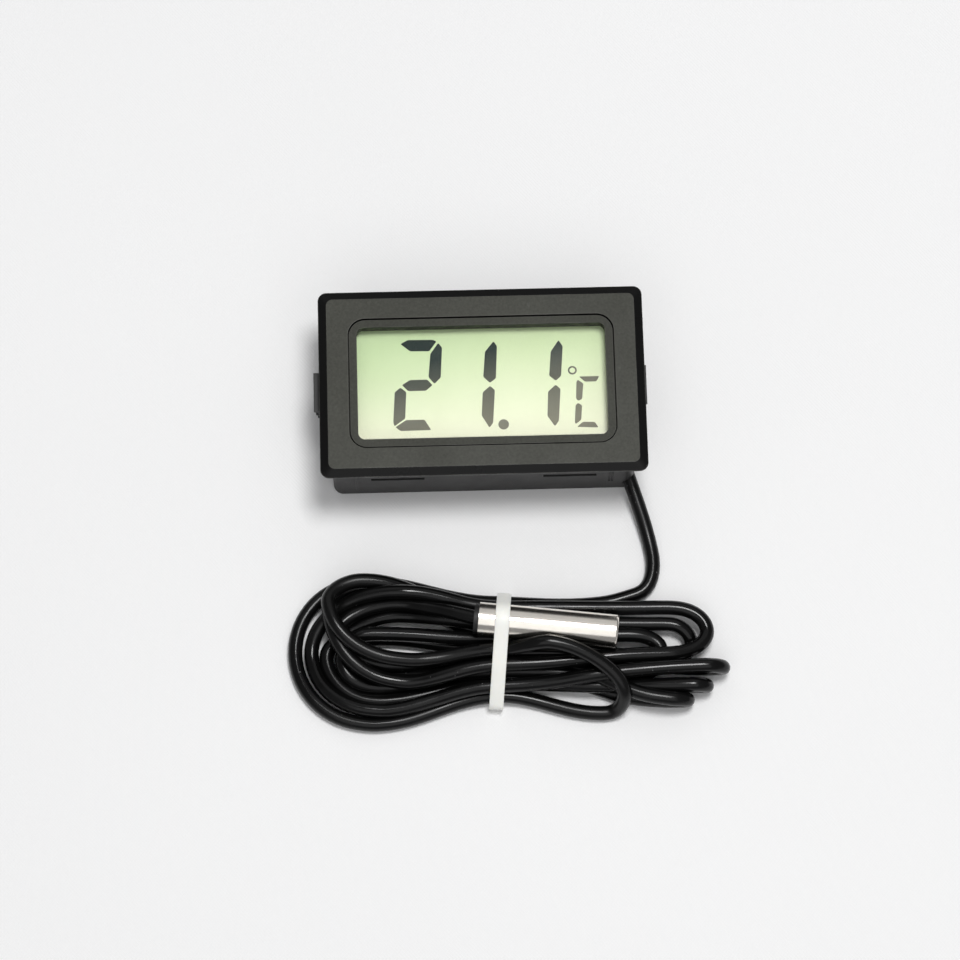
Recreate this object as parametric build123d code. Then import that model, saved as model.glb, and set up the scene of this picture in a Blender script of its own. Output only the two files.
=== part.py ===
from build123d import *
import math
import os

# Panel-mount digital thermometer with a cable probe, for measuring a tray or tank of solution.
#
# Frame: millimetres, +Z up. The thermometer lies on its back with the display facing +Z. The origin is
# the centre of the rear face, on the surface that the thermometer lies on. +X runs to the right of the
# reading and +Y towards the top of the digits. The probe cable is tied in a hank on the -Y side.

os.makedirs("parts", exist_ok=True)

# ---- Driving dimensions: case -------------------------------------------------------------------
CASE_DEPTH = 15.2            # rear face to display face
BEZEL_SIZE = (48.0, 28.6)
BEZEL_RADIUS = 1.3
BEVEL_WIDTH, BEVEL_HEIGHT = 1.25, 0.5
FACE_RADIUS = 0.9            # corner of the display face, inside the bevel
FLANGE_THICKNESS = 0.8
PLATE_THICKNESS = 1.3        # bezel plate, face to underside, inside the tub
TUB_SIZE = (44.8, 25.0)
TUB_RADIUS = 1.5
WALL = 1.2
FLOOR = 1.6
REAR_CHAMFER = 0.4
SLIP = 0.1                   # assembly gap between moulded parts, each side
ROOT = 0.2                   # depth that a moulded post or wall is sunk into the floor it grows from

FLANGE_Z = CASE_DEPTH - FLANGE_THICKNESS
PLATE_Z = CASE_DEPTH - PLATE_THICKNESS
CAVITY_SIZE = (TUB_SIZE[0] - 2 * WALL, TUB_SIZE[1] - 2 * WALL)
SKIRT_SIZE = (CAVITY_SIZE[0] - 2 * SLIP, CAVITY_SIZE[1] - 2 * SLIP)
SKIRT_WALL = 1.0
SKIRT_Z = 10.6               # lower edge of the skirt

# ---- Display ------------------------------------------------------------------------------------
SURROUND_SIZE = (38.9, 19.6)
SURROUND_RADIUS = 2.4
SURROUND_DROP = 0.2          # surround face below the bezel face
GROOVE = 0.2
WINDOW_SIZE = (36.7, 17.3)
WINDOW_RADIUS = 1.1
COLLAR_SIZE, COLLAR_RADIUS = (40.0, 20.2), 0.5
POCKET_SIZE, POCKET_RADIUS = (38.8, 18.8), 0.3
COLLAR_Z = 11.0              # lower edge of the collar behind the bezel plate
GLASS_TOP = 13.5
GLASS_SIZE = (38.6, 18.6)
GLASS = 0.7
POLARIZER = 0.2
REAR_GLASS_SIZE = (38.6, 17.0)
POLARIZER_SIZE = (38.4, 18.4)
REFLECTOR_SIZE = (38.2, 16.8)
STRIP_LENGTH, STRIP_WIDTH = 36.0, 1.3
GLASS_INSET = 0.05

# ---- Electronics --------------------------------------------------------------------------------
BOARD_SIZE = (40.2, 20.0)
BOARD_Z, BOARD = 8.9, 1.0    # underside and thickness
POST_AT, POST_RADIUS = (16.4, 8.4), 1.1
CELL_RADIUS, CELL_HEIGHT = 5.8, 5.4
CELL_X = (-12.8, -0.6)
CELL_Z = 1.6
CELL_WALL, CELL_WALL_TOP = 1.2, 6.4
CELL_SLIP = 0.2

# ---- Battery door -------------------------------------------------------------------------------
DOOR_HALF_WIDTH = 6.0
DOOR_END_X = 5.6
DOOR_Z, DOOR_TOP = 0.15, 1.2
TONGUE = 0.5                 # thickness of the door's side tongues
TONGUE_REACH = 0.9
TONGUE_Z = 0.55
GROOVE_SLIP = 0.05
THUMB_GROOVE_X = (-18.6, -17.2, -15.8)
THUMB_GROOVE = (0.6, 7.0, 0.25)

# ---- Snap arms ----------------------------------------------------------------------------------
ARM_WIDTH = 6.0
ARM_Y = -0.5
ARM_THICKNESS = 0.9
ARM_PIVOT = (21.7, 3.4)      # x (right-hand arm) and z of the bending root
ARM_TIP = (23.45, 12.8)      # x and z of the centre of the free end
ARM_TEETH = 5
FIRST_TOOTH = 5.8
TOOTH_REACH = 0.95
TOOTH_LAND = 0.25
ARM_SET = {"left": 0.0, "right": -3.3}   # degrees that each arm has relaxed, inwards negative
ARM_SLOT_GAP = 0.35
ARM_SLOT_DEPTH = 3.6

# ---- Probe cable --------------------------------------------------------------------------------
CABLE_RADIUS = 1.08
WIRE_RADIUS, WIRE_OFFSET = 0.38, 0.43
WIRE_STRAIGHT, WIRE_DROP, WIRE_BEND = 1.6, 2.0, 0.6
CLAMP_SIZE, CLAMP_TOP, CLAMP_AT = (2.9, 2.0), 5.4, (19.65, -8.4)
CABLE_EXIT = (21.9, -12.5, 2.75)
CABLE_ROUTE = [
    CABLE_EXIT,
    (23.15, -16.3, 2.0),
    (24.35, -20.6, 1.1),
    (25.1, -25.1, 1.1),
    (23.9, -28.8, 1.1),
    (20.5, -29.9, 1.1),
    (17.2, -30.7, 1.1),
]
HANK_HEIGHT = 4.2
HANK_OUTLINE = [
    (3.0, -29.4), (20.0, -30.2), (30.5, -32.0), (33.4, -36.5), (35.1, -41.2),
    (30.0, -46.2), (18.7, -48.2), (8.0, -46.4), (-9.0, -47.6), (-19.0, -48.8),
    (-27.4, -43.8), (-29.8, -36.5), (-25.8, -28.6), (-18.5, -25.9), (-8.5, -27.7),
]
TIE_CENTRE = (1.75, -37.9)
TIE_HEADING = 84.4           # degrees from +X towards +Y, along the band
TIE_WIDTH, TIE_THICKNESS = 2.1, 0.4
TIE_HALF_SPAN = 8.9
TIE_CORNER = 1.0             # inside radius where the band turns round the edge of the bundle
TIE_SLACK = 0.08             # gap between the band and the probe

# ---- Probe --------------------------------------------------------------------------------------
PROBE_RADIUS, PROBE_WALL, PROBE_END_WALL = 2.5, 0.3, 0.6
PROBE_LENGTH = 20.5
PROBE_HEADING = -6.9
PROBE_OPEN_END = (-1.35, -34.0)
PROBE_Z = HANK_HEIGHT + PROBE_RADIUS
PROBE_EDGE = 0.4
POTTING_STICK_OUT = 0.7
CABLE_IN_PROBE, CABLE_BEHIND_PROBE = 4.0, 1.5
BEAD_RADIUS, BEAD_DEPTH = 1.1, 3.0
BEAD_LEAD_RADIUS, BEAD_LEAD_OFFSET = 0.15, 0.45


# ---- Helpers ------------------------------------------------------------------------------------
def block(size, z0, z1, at=(0, 0)):
    """Rectangular block standing between two heights."""
    return Pos(at[0], at[1], (z0 + z1) / 2) * Box(size[0], size[1], z1 - z0)


def rounded(size, radius, z0, z1, at=(0, 0)):
    """Block with rounded vertical corners, between two heights."""
    outline = RectangleRounded(size[0], size[1], radius)
    return Pos(at[0], at[1], z0) * extrude(outline, z1 - z0)


def disc(radius, z0, z1, at=(0, 0)):
    """Upright cylinder between two heights."""
    return Pos(at[0], at[1], (z0 + z1) / 2) * Cylinder(radius, z1 - z0)


def rod(radius, start, end):
    """Cylinder between two points."""
    start, end = Vector(*start), Vector(*end)
    plane = Plane(origin=start, z_dir=end - start)
    return plane * extrude(Circle(radius), (end - start).length)


def along_y(profile, width):
    """Solid of an outline drawn in (x, z), centred on y = 0."""
    plane = Plane(origin=(0, width / 2, 0), x_dir=(1, 0, 0), z_dir=(0, -1, 0))
    return plane * extrude(make_face(Polyline(*profile, close=True)), width)


def arc_radii(points):
    """Radius of each corner of a route: 0.45 of the shorter run over the tangent of half the turn."""
    radii = []
    for before, corner, after in zip(points, points[1:], points[2:]):
        run_in = Vector(*corner) - Vector(*before)
        run_out = Vector(*after) - Vector(*corner)
        half_turn = math.radians(run_in.get_angle(run_out)) / 2
        radii.append(0.45 * min(run_in.length, run_out.length) / math.tan(half_turn))
    return radii


# ---- Case ---------------------------------------------------------------------------------------
ARM_SLOT_WIDTH = ARM_WIDTH + 2 * ARM_SLOT_GAP
HOOK_X = (-12.75, 12.75)
HOOK_WIDTH, HOOK_REACH = 7.7, 0.8
WINDOW_Z = (6.7, 7.75)       # snap windows in the long sides
FINGER_WALL = 0.85
RIB_X, RIB_Z = -18.85, (2.4, 13.0)
RIB_SECTION = (0.35, 0.24)
SCORE_X, SCORE_Z = (18.65, 19.1), (3.9, 13.0)
SCORE_SECTION = (0.25, 0.3)
PASSAGE_RADIUS = CABLE_RADIUS + 0.07
CABLE_AXIS = (Vector(*CABLE_ROUTE[1]) - Vector(*CABLE_EXIT)).normalized()
TAIL_LENGTH = 6.0
TAIL_END = tuple(Vector(*CABLE_EXIT) - CABLE_AXIS * TAIL_LENGTH)


def front_bezel():
    """Bevelled front frame with a skirt that plugs into the tub and four hooks that hold it there."""
    side_z = CASE_DEPTH - BEVEL_HEIGHT
    face_size = (BEZEL_SIZE[0] - 2 * BEVEL_WIDTH, BEZEL_SIZE[1] - 2 * BEVEL_WIDTH)
    flange = rounded(BEZEL_SIZE, BEZEL_RADIUS, FLANGE_Z, side_z)
    bevel = loft([
        Pos(0, 0, side_z) * RectangleRounded(*BEZEL_SIZE, BEZEL_RADIUS),
        Pos(0, 0, CASE_DEPTH) * RectangleRounded(*face_size, FACE_RADIUS),
    ])
    skirt_inside = (SKIRT_SIZE[0] - 2 * SKIRT_WALL, SKIRT_SIZE[1] - 2 * SKIRT_WALL)
    skirt = rounded(SKIRT_SIZE, 0.8, SKIRT_Z, FLANGE_Z)
    skirt -= rounded(skirt_inside, 0.4, SKIRT_Z - 1, PLATE_Z)
    for side in (-1, 1):
        slot_at = (side * SKIRT_SIZE[0] / 2, ARM_Y)
        skirt -= block((ARM_SLOT_DEPTH, ARM_SLOT_WIDTH), SKIRT_Z - 1, PLATE_Z, slot_at)
    opening_size = (SURROUND_SIZE[0] + 2 * GROOVE, SURROUND_SIZE[1] + 2 * GROOVE)
    bezel = flange + bevel + skirt
    bezel -= rounded(opening_size, SURROUND_RADIUS + GROOVE, PLATE_Z - 1, CASE_DEPTH + 1)
    for hook_x in HOOK_X:
        for side in (-1, 1):
            bezel += hook(hook_x, side)
    return bezel


def hook(x, side):
    """Springy finger below the skirt whose wedge clicks into a window in the tub's long side."""
    outer_y = SKIRT_SIZE[1] / 2
    inner_y, tip_y = outer_y - FINGER_WALL, outer_y + HOOK_REACH
    foot, shelf = WINDOW_Z[0] - 0.3, WINDOW_Z[1] - SLIP
    profile = [
        (inner_y, SKIRT_Z + 0.5), (inner_y, foot), (outer_y, foot), (outer_y, foot + 0.4),
        (tip_y, shelf - 0.3), (tip_y, shelf), (outer_y, shelf), (outer_y, SKIRT_Z + 0.5),
    ]
    plane = Plane(origin=(x - side * HOOK_WIDTH / 2, 0, 0), x_dir=(0, side, 0), z_dir=(side, 0, 0))
    return plane * extrude(make_face(Polyline(*profile, close=True)), HOOK_WIDTH)


def rear_housing():
    """Tub with snap windows, side slots for the arms, a slide-in battery door and a cable passage."""
    body = rounded(TUB_SIZE, TUB_RADIUS, 0, FLANGE_Z)
    body = chamfer(body.faces().sort_by(Axis.Z)[0].edges(), REAR_CHAMFER)
    body -= rounded(CAVITY_SIZE, TUB_RADIUS - 0.6, FLOOR, FLANGE_Z + 1)
    body += cell_walls()
    body += board_posts()
    body += wall_rib()
    body -= wall_scores()
    for hook_x in HOOK_X:
        for side in (-1, 1):
            body -= block((HOOK_WIDTH + 0.2, 3.0), *WINDOW_Z, (hook_x, side * TUB_SIZE[1] / 2))
    for side in (-1, 1):
        slot_x = side * (ARM_PIVOT[0] + 0.1)
        slot_z = ARM_PIVOT[1] - ARM_THICKNESS / 2 - SLIP
        body -= block((ARM_SLOT_DEPTH, ARM_SLOT_WIDTH), slot_z, FLANGE_Z + 1, (slot_x, ARM_Y))
    body -= door_channel()
    body -= rod(PASSAGE_RADIUS, Vector(*CABLE_EXIT) + CABLE_AXIS * 3, TAIL_END)
    return body


def cell_walls():
    """Low walls that stand round the two button cells."""
    x0, x1 = CELL_X[0] - CELL_RADIUS, CELL_X[1] + CELL_RADIUS
    outer = (x1 - x0 + 2 * CELL_WALL, 2 * (CELL_RADIUS + CELL_WALL))
    walls = block(outer, FLOOR - ROOT, CELL_WALL_TOP, ((x0 + x1) / 2, 0))
    for cell_x in CELL_X:
        walls -= disc(CELL_RADIUS + CELL_SLIP, FLOOR - 1, CELL_WALL_TOP + 1, (cell_x, 0))
    return walls


def board_posts():
    """Four posts that press the circuit board up against the display."""
    post_x, post_y = POST_AT
    corners = [(x, y) for x in (-post_x, post_x) for y in (-post_y, post_y)]
    return [disc(POST_RADIUS, FLOOR - ROOT, BOARD_Z, corner) for corner in corners]


def wall_rib():
    """Shallow upright rib near the left end of the -Y wall."""
    return block(RIB_SECTION, *RIB_Z, (RIB_X, -TUB_SIZE[1] / 2))


def wall_scores():
    """Pair of shallow upright grooves near the right end of the -Y wall."""
    return [block(SCORE_SECTION, *SCORE_Z, (x, -TUB_SIZE[1] / 2)) for x in SCORE_X]


def door_channel():
    """Opening for the battery door, with a groove each side for its tongues."""
    left, right = -TUB_SIZE[0] / 2 - 1, DOOR_END_X + SLIP
    length, middle = right - left, ((left + right) / 2, 0)
    opening = block((length, 2 * (DOOR_HALF_WIDTH + SLIP)), -1, FLOOR + 1, middle)
    groove_width = 2 * (DOOR_HALF_WIDTH + TONGUE_REACH + SLIP)
    low, high = TONGUE_Z - GROOVE_SLIP, TONGUE_Z + TONGUE + GROOVE_SLIP
    return opening + block((length, groove_width), low, high, middle)


def battery_door():
    """Sliding door, flush with the side wall, with side tongues and thumb grooves."""
    left = -TUB_SIZE[0] / 2
    length, middle = DOOR_END_X - left, ((left + DOOR_END_X) / 2, 0)
    door = block((length, 2 * DOOR_HALF_WIDTH), DOOR_Z, DOOR_TOP, middle)
    door += block((length, 2 * (DOOR_HALF_WIDTH + TONGUE_REACH)), TONGUE_Z, TONGUE_Z + TONGUE, middle)
    groove_length, groove_width, groove_depth = THUMB_GROOVE
    for groove_x in THUMB_GROOVE_X:
        door -= block((groove_length, groove_width), DOOR_Z - 1, DOOR_Z + groove_depth, (groove_x, 0))
    return door


def snap_arm(side):
    """Springy toothed arm that grips the edge of the panel. Its root is round, about the bending line."""
    pivot, tip = Vector(*ARM_PIVOT), Vector(*ARM_TIP)
    half = ARM_THICKNESS / 2
    slope = (tip.X - pivot.X) / (tip.Y - pivot.Y)

    def face_x(z, offset):
        return pivot.X + (z - pivot.Y) * slope + offset

    pitch = (tip.Y - FIRST_TOOTH) / ARM_TEETH
    inside = [(face_x(z, -half), z) for z in (tip.Y, pivot.Y)]
    profile = inside + [(face_x(pivot.Y, half), pivot.Y)]
    for tooth in range(ARM_TEETH):
        low, high = FIRST_TOOTH + tooth * pitch, FIRST_TOOTH + (tooth + 1) * pitch
        profile.append((face_x(low, half), low))
        profile.append((face_x(high, half + TOOTH_REACH), high - TOOTH_LAND))
        profile.append((face_x(high, half + TOOTH_REACH), high))
    blade = along_y(profile, ARM_WIDTH)
    root = Pos(pivot.X, 0, pivot.Y) * Rot(90, 0, 0) * Cylinder(half, ARM_WIDTH)
    arm = Pos(0, ARM_Y, 0) * (blade + root)
    arm = arm.rotate(Axis((pivot.X, 0, pivot.Y), (0, 1, 0)), ARM_SET["right" if side > 0 else "left"])
    return arm if side > 0 else arm.mirror(Plane.YZ)


# ---- Display ------------------------------------------------------------------------------------
def display_surround():
    """Inner frame round the window. Its collar sits behind the bezel plate and holds the display."""
    face_z = CASE_DEPTH - SURROUND_DROP
    surround = rounded(SURROUND_SIZE, SURROUND_RADIUS, PLATE_Z - ROOT, face_z)
    surround += rounded(COLLAR_SIZE, COLLAR_RADIUS, COLLAR_Z, PLATE_Z)
    surround -= rounded(POCKET_SIZE, POCKET_RADIUS, COLLAR_Z - 1, GLASS_TOP)
    return surround - rounded(WINDOW_SIZE, WINDOW_RADIUS, GLASS_TOP - 1, CASE_DEPTH + 1)


def layer(size, top, thickness, y=0):
    """One flat layer of the display."""
    return block(size, top - thickness, top, (0, y))


FRONT_GLASS_TOP = GLASS_TOP - POLARIZER
REAR_GLASS_TOP = FRONT_GLASS_TOP - GLASS
REFLECTOR_TOP = REAR_GLASS_TOP - GLASS
REAR_GLASS_Y = (GLASS_SIZE[1] - REAR_GLASS_SIZE[1]) / 2 - GLASS_INSET
LEDGE_Y = (REAR_GLASS_Y - (REAR_GLASS_SIZE[1] + GLASS_SIZE[1]) / 2) / 2


def zebra_strip():
    """Striped rubber connector between the board and the contact ledge of the front glass."""
    return block((STRIP_LENGTH, STRIP_WIDTH), BOARD_Z + BOARD, REAR_GLASS_TOP, (0, LEDGE_Y))


# ---- Electronics --------------------------------------------------------------------------------
CHIP_AT, CHIP_RADIUS, CHIP_HEIGHT = (12.4, 0.6), 4.4, 1.5
CRYSTAL_AT, CRYSTAL_RADIUS, CRYSTAL_LENGTH = (12.0, -6.6), 1.0, 6.0
SMD_HEIGHT = 0.6
RESISTOR_AT, RESISTOR_SIZE = [(7.8, 5.2), (7.8, 6.8), (7.8, 8.4)], (1.6, 0.8)
CAPACITOR_AT, CAPACITOR_SIZE = [(11.0, 7.8), (13.8, 7.8), (18.6, 2.0)], (1.8, 1.2)
PAD_AT, PAD_RADIUS, PAD_HEIGHT = ((16.6, -5.4), (18.4, -4.4)), 0.8, 0.3
CELL_TOP = CELL_Z + CELL_HEIGHT
CELL_CAP_RADIUS, CELL_CAP = CELL_RADIUS - 0.9, 0.4
LEAF, LEAF_WIDTH = 0.2, 4.0
BRIDGE, BRIDGE_WIDTH, BRIDGE_REACH = 0.25, 6.0, 3.5


def chip_blob():
    """Black resin drop over the bare chip, under the board."""
    ball_radius = (CHIP_RADIUS ** 2 + CHIP_HEIGHT ** 2) / (2 * CHIP_HEIGHT)
    ball = Pos(*CHIP_AT, BOARD_Z - CHIP_HEIGHT + ball_radius) * Sphere(ball_radius)
    below_board = block((3 * CHIP_RADIUS, 3 * CHIP_RADIUS), BOARD_Z - 2 * CHIP_HEIGHT, BOARD_Z, CHIP_AT)
    return ball & below_board


def quartz_crystal():
    """Clock crystal in its metal can, lying under the board."""
    lying = Pos(*CRYSTAL_AT, BOARD_Z - CRYSTAL_RADIUS) * Rot(0, 90, 0)
    return lying * Cylinder(CRYSTAL_RADIUS, CRYSTAL_LENGTH)


def chips(places, size):
    """Row of surface-mount components under the board."""
    return [block(size, BOARD_Z - SMD_HEIGHT, BOARD_Z, place) for place in places]


def button_cell(x):
    """Button cell: a can with a smaller raised cap."""
    can = disc(CELL_RADIUS, CELL_Z + CELL_CAP, CELL_TOP, (x, 0))
    can = fillet(can.faces().sort_by(Axis.Z)[-1].edges(), CELL_CAP)
    return can + disc(CELL_CAP_RADIUS, CELL_Z, CELL_Z + CELL_CAP + ROOT, (x, 0))


def leaf_contact(x):
    """Bent metal leaf that hangs from the board and presses on the top of a cell."""
    top, low = BOARD_Z, CELL_TOP
    profile = [
        (x - 4.2, top), (x - 4.2, top - LEAF), (x - 2.0, top - LEAF), (x + 0.6, low), (x + 1.8, low),
        (x + 3.0, low + 0.6), (x + 2.8, low + 0.75), (x + 1.7, low + LEAF), (x + 0.8, low + LEAF),
        (x - 1.8, top),
    ]
    return along_y(profile, LEAF_WIDTH)


def bridge_contact():
    """Strip on the inside of the battery door that joins the undersides of both cells."""
    x0, x1 = CELL_X[0] - BRIDGE_REACH, CELL_X[1] + BRIDGE_REACH
    return block((x1 - x0, BRIDGE_WIDTH), DOOR_TOP, DOOR_TOP + BRIDGE, ((x0 + x1) / 2, 0))


# ---- Probe cable --------------------------------------------------------------------------------
def cable_tail():
    """Inner end of the cable, from the passage in the case to where its jacket is stripped."""
    return rod(CABLE_RADIUS, TAIL_END, CABLE_EXIT)


def cable_clamp():
    """Moulded block, pressed over the cable inside the case, that takes the pull on it."""
    return block(CLAMP_SIZE, FLOOR, CLAMP_TOP, CLAMP_AT) - cable_tail()


def wire(side, pad):
    """Insulated core that rises from the stripped end of the cable to a pad on the board."""
    across = CABLE_AXIS.cross(Vector(0, 0, 1)).normalized()
    start = Vector(*TAIL_END) + across * side * WIRE_OFFSET
    bend = start - CABLE_AXIS * WIRE_STRAIGHT
    low, high = Vector(*pad, BOARD_Z - WIRE_DROP), Vector(*pad, BOARD_Z - PAD_HEIGHT)
    path = FilletPolyline(start, bend, low, high, radius=WIRE_BEND)
    return sweep(Plane(origin=start, z_dir=path % 0) * Circle(WIRE_RADIUS), path=path)


def sensor_cable():
    """Free stretch of the cable: straight runs joined by tangent arcs."""
    radii = arc_radii(CABLE_ROUTE)
    path = FilletPolyline(*CABLE_ROUTE, radius=radii)
    section = Plane(origin=path @ 0, z_dir=path % 0) * Circle(CABLE_RADIUS)
    cable = sweep(section, path=path)
    straight_volume = math.pi * CABLE_RADIUS ** 2 * path.length
    print("cable arc radii", [round(radius, 1) for radius in radii])
    print("cable volume over section times length", round(cable.volume / straight_volume, 4))
    return cable


TIE_PLANE = Plane(
    origin=(TIE_CENTRE[0], TIE_CENTRE[1], 0),
    x_dir=(math.cos(math.radians(TIE_HEADING)), math.sin(math.radians(TIE_HEADING)), 0),
    z_dir=(math.sin(math.radians(TIE_HEADING)), -math.cos(math.radians(TIE_HEADING)), 0),
)
PROBE_AXIS = Vector(math.cos(math.radians(PROBE_HEADING)), math.sin(math.radians(PROBE_HEADING)), 0)
PROBE_START = Vector(PROBE_OPEN_END[0], PROBE_OPEN_END[1], PROBE_Z)


def tie_outline(grow):
    """Band outline across the bundle: flat on the hank's base and sides, and over the probe on top."""
    crossing = (TIE_CENTRE[0] - PROBE_START.X) / PROBE_AXIS.X
    probe_u = (PROBE_START + PROBE_AXIS * crossing).Y - TIE_CENTRE[1]
    corner_u = TIE_HALF_SPAN - TIE_CORNER
    corner_z = (TIE_THICKNESS + TIE_CORNER, HANK_HEIGHT - TIE_CORNER)
    corners = [Pos(u, z) * Circle(TIE_CORNER + grow) for u in (-corner_u, corner_u) for z in corner_z]
    probe = Pos(probe_u, PROBE_Z) * Circle(PROBE_RADIUS + TIE_SLACK + grow)
    edges = [shape.edge() for shape in corners + [probe]]
    return make_hull(edges)


def band(grow, width):
    """Solid block of the tie's outline, centred on the tie."""
    return TIE_PLANE * Pos(0, 0, -width / 2) * extrude(tie_outline(grow), width)


def cable_tie():
    """Flat plastic band pulled round the hank and the probe."""
    return band(TIE_THICKNESS, TIE_WIDTH) - band(0, TIE_WIDTH + 1)


def cable_hank():
    """Outer shape of the folded and tied cable, waisted where the tie grips it."""
    outline = make_face(Spline(*HANK_OUTLINE, periodic=True))
    return extrude(outline, HANK_HEIGHT) - cable_tie()


def probe_point(distance):
    """Point on the probe's axis, measured from its open end towards the closed one."""
    return PROBE_START + PROBE_AXIS * distance


PROBE_BORE_END = PROBE_LENGTH - PROBE_END_WALL
BEAD_AT = probe_point(PROBE_LENGTH - BEAD_DEPTH)


def probe_sleeve():
    """Stainless tube with one closed, slightly rounded end."""
    sleeve = rod(PROBE_RADIUS, probe_point(0), probe_point(PROBE_LENGTH))
    tip = sleeve.faces().sort_by(Axis.X)[-1]
    sleeve = fillet(tip.edges(), PROBE_EDGE)
    return sleeve - rod(PROBE_RADIUS - PROBE_WALL, probe_point(-1), probe_point(PROBE_BORE_END))


def thermistor_bead():
    """Glass-coated temperature sensor near the closed end of the sleeve."""
    return Pos(BEAD_AT) * Sphere(BEAD_RADIUS)


def thermistor_leads():
    """Two bare leads from the bead back to the cable."""
    leads = []
    for side in (-1, 1):
        beside = Vector(0, side * BEAD_LEAD_OFFSET, 0)
        lead = rod(BEAD_LEAD_RADIUS, BEAD_AT + beside, probe_point(CABLE_IN_PROBE) + beside)
        leads.append(lead - thermistor_bead())
    return leads


def probe_cable_end():
    """Last few millimetres of cable, which enter the open end of the sleeve."""
    start = probe_point(-POTTING_STICK_OUT - CABLE_BEHIND_PROBE)
    return rod(CABLE_RADIUS, start, probe_point(CABLE_IN_PROBE))


def probe_potting():
    """Black resin that fills the sleeve round the sensor and stands a little out of its open end."""
    filling = rod(PROBE_RADIUS - PROBE_WALL, probe_point(-POTTING_STICK_OUT), probe_point(PROBE_BORE_END))
    for solid in [thermistor_bead(), probe_cable_end()] + thermistor_leads():
        filling -= solid
    return filling


# ---- Write every sub-part -----------------------------------------------------------------------
NODES = {
    "front_bezel": front_bezel(),
    "display_surround": display_surround(),
    "lcd_front_polarizer": layer(POLARIZER_SIZE, GLASS_TOP, POLARIZER),
    "lcd_front_glass": layer(GLASS_SIZE, FRONT_GLASS_TOP, GLASS),
    "lcd_rear_glass": layer(REAR_GLASS_SIZE, REAR_GLASS_TOP, GLASS, REAR_GLASS_Y),
    "lcd_reflector": layer(REFLECTOR_SIZE, REFLECTOR_TOP, POLARIZER, REAR_GLASS_Y),
    "zebra_strip": zebra_strip(),
    "circuit_board": block(BOARD_SIZE, BOARD_Z, BOARD_Z + BOARD),
    "chip_blob": chip_blob(),
    "quartz_crystal": quartz_crystal(),
    "smd_resistors": chips(RESISTOR_AT, RESISTOR_SIZE),
    "smd_capacitors": chips(CAPACITOR_AT, CAPACITOR_SIZE),
    "solder_joints": [disc(PAD_RADIUS, BOARD_Z - PAD_HEIGHT, BOARD_Z, place) for place in PAD_AT],
    "battery_contact_positive": leaf_contact(CELL_X[0]),
    "battery_contact_negative": leaf_contact(CELL_X[1]),
    "battery_contact_bridge": bridge_contact(),
    "battery_cell_left": button_cell(CELL_X[0]),
    "battery_cell_right": button_cell(CELL_X[1]),
    "rear_housing": rear_housing(),
    "battery_door": battery_door(),
    "snap_arm_left": snap_arm(-1),
    "snap_arm_right": snap_arm(1),
    "cable_clamp": cable_clamp(),
    "cable_tail": cable_tail(),
    "wire_red": wire(1, PAD_AT[0]),
    "wire_black": wire(-1, PAD_AT[1]),
    "sensor_cable": sensor_cable(),
    "cable_hank": cable_hank(),
    "cable_tie": cable_tie(),
    "probe_sleeve": probe_sleeve(),
    "probe_potting": probe_potting(),
    "probe_cable_end": probe_cable_end(),
    "thermistor_bead": thermistor_bead(),
    "thermistor_leads": thermistor_leads(),
}

for node, shape in NODES.items():
    solids = shape if isinstance(shape, list) else shape.solids()
    export_step(Compound(children=list(solids)) if len(solids) > 1 else solids[0], f"parts/{node}.step")
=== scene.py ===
import math

import bmesh
import bpy
import numpy as np
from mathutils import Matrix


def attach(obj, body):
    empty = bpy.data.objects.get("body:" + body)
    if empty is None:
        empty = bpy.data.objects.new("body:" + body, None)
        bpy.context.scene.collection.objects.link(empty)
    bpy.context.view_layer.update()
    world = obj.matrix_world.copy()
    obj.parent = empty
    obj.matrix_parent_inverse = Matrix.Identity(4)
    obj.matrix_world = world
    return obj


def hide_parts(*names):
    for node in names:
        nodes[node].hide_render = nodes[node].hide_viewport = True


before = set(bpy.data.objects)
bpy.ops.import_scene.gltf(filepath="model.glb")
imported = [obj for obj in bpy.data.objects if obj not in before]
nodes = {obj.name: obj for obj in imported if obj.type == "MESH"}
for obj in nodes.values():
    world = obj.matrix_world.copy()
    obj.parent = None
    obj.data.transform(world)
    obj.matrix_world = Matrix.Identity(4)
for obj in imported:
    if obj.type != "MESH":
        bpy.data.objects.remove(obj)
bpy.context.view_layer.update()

MM = 0.001

# ---------------------------------------------------------------- node trees


def put(tree, socket, value):
    if isinstance(value, bpy.types.NodeSocket):
        tree.links.new(value, socket)
    else:
        socket.default_value = value


def add(tree, kind, settings=None, **inputs):
    """Adds a shader node; an input's name has _ for each space."""
    made = tree.nodes.new("ShaderNode" + kind)
    for name, value in (settings or {}).items():
        setattr(made, name, value)
    for name, value in inputs.items():
        put(tree, made.inputs[name.replace("_", " ")], value)
    return made


def new_material(name):
    material = bpy.data.materials.new(name)
    material.use_nodes = True
    material.node_tree.nodes.clear()
    return material, material.node_tree


def finish_material(tree, shader):
    out = tree.nodes.new("ShaderNodeOutputMaterial")
    tree.links.new(shader, out.inputs["Surface"])


def place_of(tree, stretch=None):
    """The point of the surface in metres, stretched to make streaks."""
    where = add(tree, "TexCoord").outputs["Object"]
    if stretch:
        where = add(tree, "Mapping", Vector=where, Scale=stretch).outputs[0]
    return where


def noise(tree, where, size, detail=2.0):
    """Noise whose features are about size metres across."""
    return add(tree, "TexNoise", Vector=where, Scale=1 / size, Detail=detail).outputs[0]


def span(tree, value, low, high, to_low=0.0, to_high=1.0):
    made = add(tree, "MapRange", Value=value, From_Min=low, From_Max=high, To_Min=to_low, To_Max=to_high)
    return made.outputs[0]


def math_node(tree, operation, a, b):
    made = tree.nodes.new("ShaderNodeMath")
    made.operation = operation
    put(tree, made.inputs[0], a)
    put(tree, made.inputs[1], b)
    return made.outputs[0]


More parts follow.
